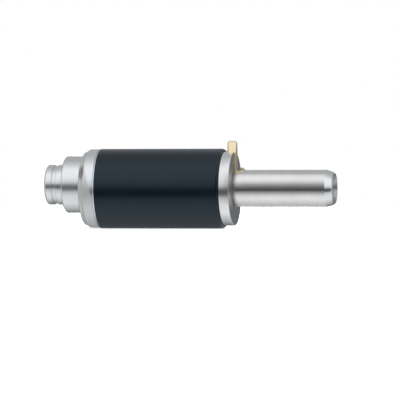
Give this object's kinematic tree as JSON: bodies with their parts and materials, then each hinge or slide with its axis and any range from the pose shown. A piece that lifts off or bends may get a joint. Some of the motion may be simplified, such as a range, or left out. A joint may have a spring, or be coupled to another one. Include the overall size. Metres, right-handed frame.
{
  "type": "dental air motor",
  "caption": "Vane air motor that drives a high-speed dental handpiece: grooved hose spigot, black grip sleeve, nose tube and a spring-loaded key that locks the handpiece.",
  "frame": {"origin": "on the body's axis, in the plane of the front cap's face, where a handpiece seats", "axes": "+X along the body's axis towards the nose tube's mouth, +Z towards the coupling key"},
  "size_m": [0.0736, 0.02, 0.022],
  "materials": {
    "satin_steel": "satin turned stainless steel",
    "polished_steel": "fine turned and polished stainless steel",
    "black_anodised": "blue-black satin anodised",
    "gold": "pale gold nitride coating",
    "bearing_steel": "ground hardened steel",
    "aluminium": "plain machined",
    "bronze": "porous sintered bronze",
    "rubber": "black nitrile",
    "vane_laminate": "brown cotton phenolic laminate"
  },
  "bodies": {
    "housing": {"hose_spigot": "satin_steel", "air_supply_nozzle": "satin_steel", "supply_oring": "rubber", "hose_collar": "satin_steel", "collar_oring": "rubber", "rear_cap": "satin_steel", "air_distributor": "aluminium", "exhaust_silencer": "bronze", "motor_casing": "aluminium", "grip_sleeve": "black_anodised", "sleeve_oring_rear": "rubber", "sleeve_oring_front": "rubber", "rear_end_plate": "aluminium", "front_end_plate": "aluminium", "air_cylinder": "bearing_steel", "cylinder_dowel_pin": "bearing_steel", "rear_bearing_outer_ring": "bearing_steel", "front_bearing_outer_ring": "bearing_steel", "preload_washer": "bearing_steel", "front_cap": "polished_steel", "nose_tube": "polished_steel", "nose_retaining_ring": "bearing_steel", "key_spring": "bearing_steel", "key_guide_pin": "bearing_steel"},
    "rotor_group": {"rotor": "bearing_steel", "vane_1": "vane_laminate", "vane_2": "vane_laminate", "vane_3": "vane_laminate", "vane_4": "vane_laminate", "rear_bearing_inner_ring": "bearing_steel", "front_bearing_inner_ring": "bearing_steel", "rotor_lock_nut": "bearing_steel", "bearing_spacer": "bearing_steel", "drive_coupling": "bearing_steel", "coupling_pin": "bearing_steel"},
    "rear_cage": {"rear_bearing_ball_cage": "bearing_steel"},
    "front_cage": {"front_bearing_ball_cage": "bearing_steel"},
    "key": {"coupling_key": "gold"}
  },
  "joints": [
    {"name": "rotor_spin", "type": "hinge", "parent": "housing", "child": "rotor_group", "pos_m": [0, 0, 0], "axis": [1, 0, 0], "continuous": true},
    {"name": "rear_cage_spin", "type": "hinge", "parent": "housing", "child": "rear_cage", "pos_m": [-0.03255, 0, 0], "axis": [1, 0, 0], "continuous": true},
    {"name": "front_cage_spin", "type": "hinge", "parent": "housing", "child": "front_cage", "pos_m": [-0.00955, 0, 0], "axis": [1, 0, 0], "continuous": true},
    {"name": "key_press", "type": "slide", "parent": "housing", "child": "key", "axis": [0, 0, -1], "range_m": [0, 0.0007], "stiffness_N_per_m": 700, "springref_m": -0.001, "deforming": ["key_spring"]}
  ],
  "couplings": [
    {"joint": "rear_cage_spin", "follows": "rotor_spin", "ratio": 0.3955},
    {"joint": "front_cage_spin", "follows": "rotor_spin", "ratio": 0.3955}
  ]
}
